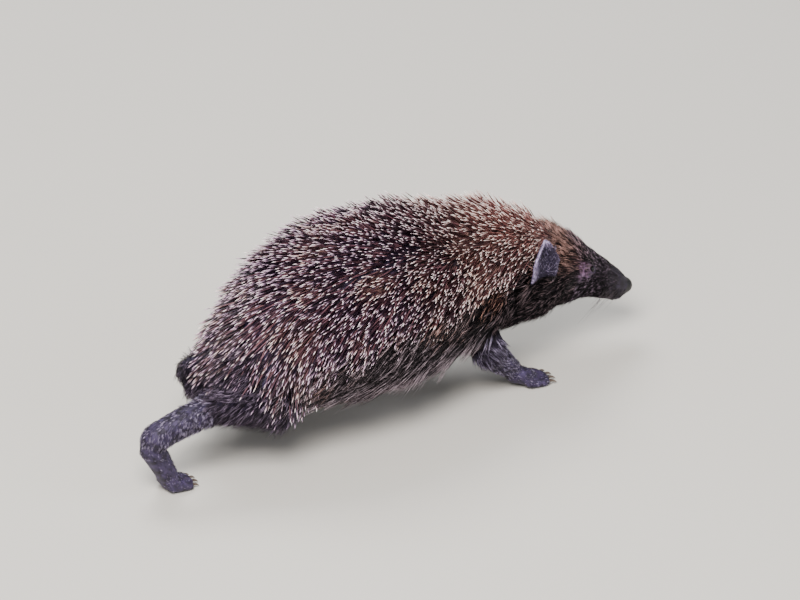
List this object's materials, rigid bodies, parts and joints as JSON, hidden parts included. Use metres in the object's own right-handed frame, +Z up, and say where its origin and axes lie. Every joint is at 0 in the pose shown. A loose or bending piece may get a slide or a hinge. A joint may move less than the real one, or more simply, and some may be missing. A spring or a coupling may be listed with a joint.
{
  "type": "hedgehog model",
  "caption": "Life-size still model of a European hedgehog in mid stride, with a coat of banded spines, a furred face, belly and flanks, a pointed snout and clawed feet.",
  "frame": {"origin": "middle of the whole animal's box, at the floor under its soles", "axes": "+X along the body towards the head, +Y the animal's left, +Z up"},
  "size_m": [0.2954, 0.0994, 0.1093],
  "materials": {
    "spines": "satin horn, banded cream and dark brown",
    "fur": "coarse brindled hair",
    "skin": "bare violet-grey skin with short hair",
    "nose": "moist black leather",
    "eye": "wet black",
    "claw": "dull horn"
  },
  "bodies": {
    "root": {"back": "spines", "belly": "fur", "crown": "spines", "ear_left": "skin", "ear_right": "skin", "eye_left": "eye", "eye_right": "eye", "fore_left_claw_1": "claw", "fore_left_claw_2": "claw", "fore_left_claw_3": "claw", "fore_left_claw_4": "claw", "fore_left_claw_5": "claw", "fore_left_foot": "skin", "fore_left_forearm": "fur", "fore_left_upper_arm": "fur", "fore_right_claw_1": "claw", "fore_right_claw_2": "claw", "fore_right_claw_3": "claw", "fore_right_claw_4": "claw", "fore_right_claw_5": "claw", "fore_right_foot": "skin", "fore_right_forearm": "fur", "fore_right_upper_arm": "fur", "head": "fur", "hind_left_claw_1": "claw", "hind_left_claw_2": "claw", "hind_left_claw_3": "claw", "hind_left_claw_4": "claw", "hind_left_claw_5": "claw", "hind_left_foot": "skin", "hind_left_shank": "fur", "hind_left_thigh": "fur", "hind_right_claw_1": "claw", "hind_right_claw_2": "claw", "hind_right_claw_3": "claw", "hind_right_claw_4": "claw", "hind_right_claw_5": "claw", "hind_right_foot": "skin", "hind_right_shank": "fur", "hind_right_thigh": "fur", "neck": "fur", "nose": "nose", "tail": "skin"}
  },
  "joints": []
}
